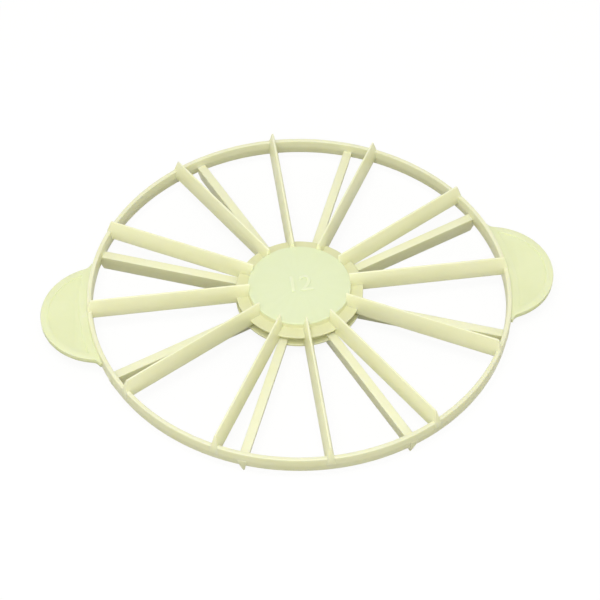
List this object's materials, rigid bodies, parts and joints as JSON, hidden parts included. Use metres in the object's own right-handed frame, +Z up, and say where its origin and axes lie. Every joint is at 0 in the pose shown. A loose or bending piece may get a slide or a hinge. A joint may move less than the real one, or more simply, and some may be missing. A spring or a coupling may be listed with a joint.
{
  "type": "cake portion marker",
  "caption": "Round double-sided cake portion marker: a rim and hub joined by wedge blades on both faces, with two half-round handles for pressing it into icing.",
  "frame": {"origin": "on the axis of the rim, at the level of the lower marking edges", "axes": "+X from the rim's axis to the right handle, +Z up out of the upper marking face"},
  "size_m": [0.3164, 0.26, 0.026],
  "materials": {
    "body_plastic": "satin moulded ivory",
    "hub_plastic": "satin moulded ivory, slightly paler"
  },
  "bodies": {
    "root": {"rim_ring": "body_plastic", "hub_upper_shell": "hub_plastic", "hub_lower_shell": "hub_plastic", "upper_blade_01": "body_plastic", "upper_blade_02": "body_plastic", "upper_blade_03": "body_plastic", "upper_blade_04": "body_plastic", "upper_blade_05": "body_plastic", "upper_blade_06": "body_plastic", "upper_blade_07": "body_plastic", "upper_blade_08": "body_plastic", "upper_blade_09": "body_plastic", "upper_blade_10": "body_plastic", "upper_blade_11": "body_plastic", "upper_blade_12": "body_plastic", "lower_blade_01": "body_plastic", "lower_blade_02": "body_plastic", "lower_blade_03": "body_plastic", "lower_blade_04": "body_plastic", "lower_blade_05": "body_plastic", "lower_blade_06": "body_plastic", "lower_blade_07": "body_plastic", "lower_blade_08": "body_plastic", "handle_left": "body_plastic", "handle_right": "body_plastic"}
  },
  "joints": []
}
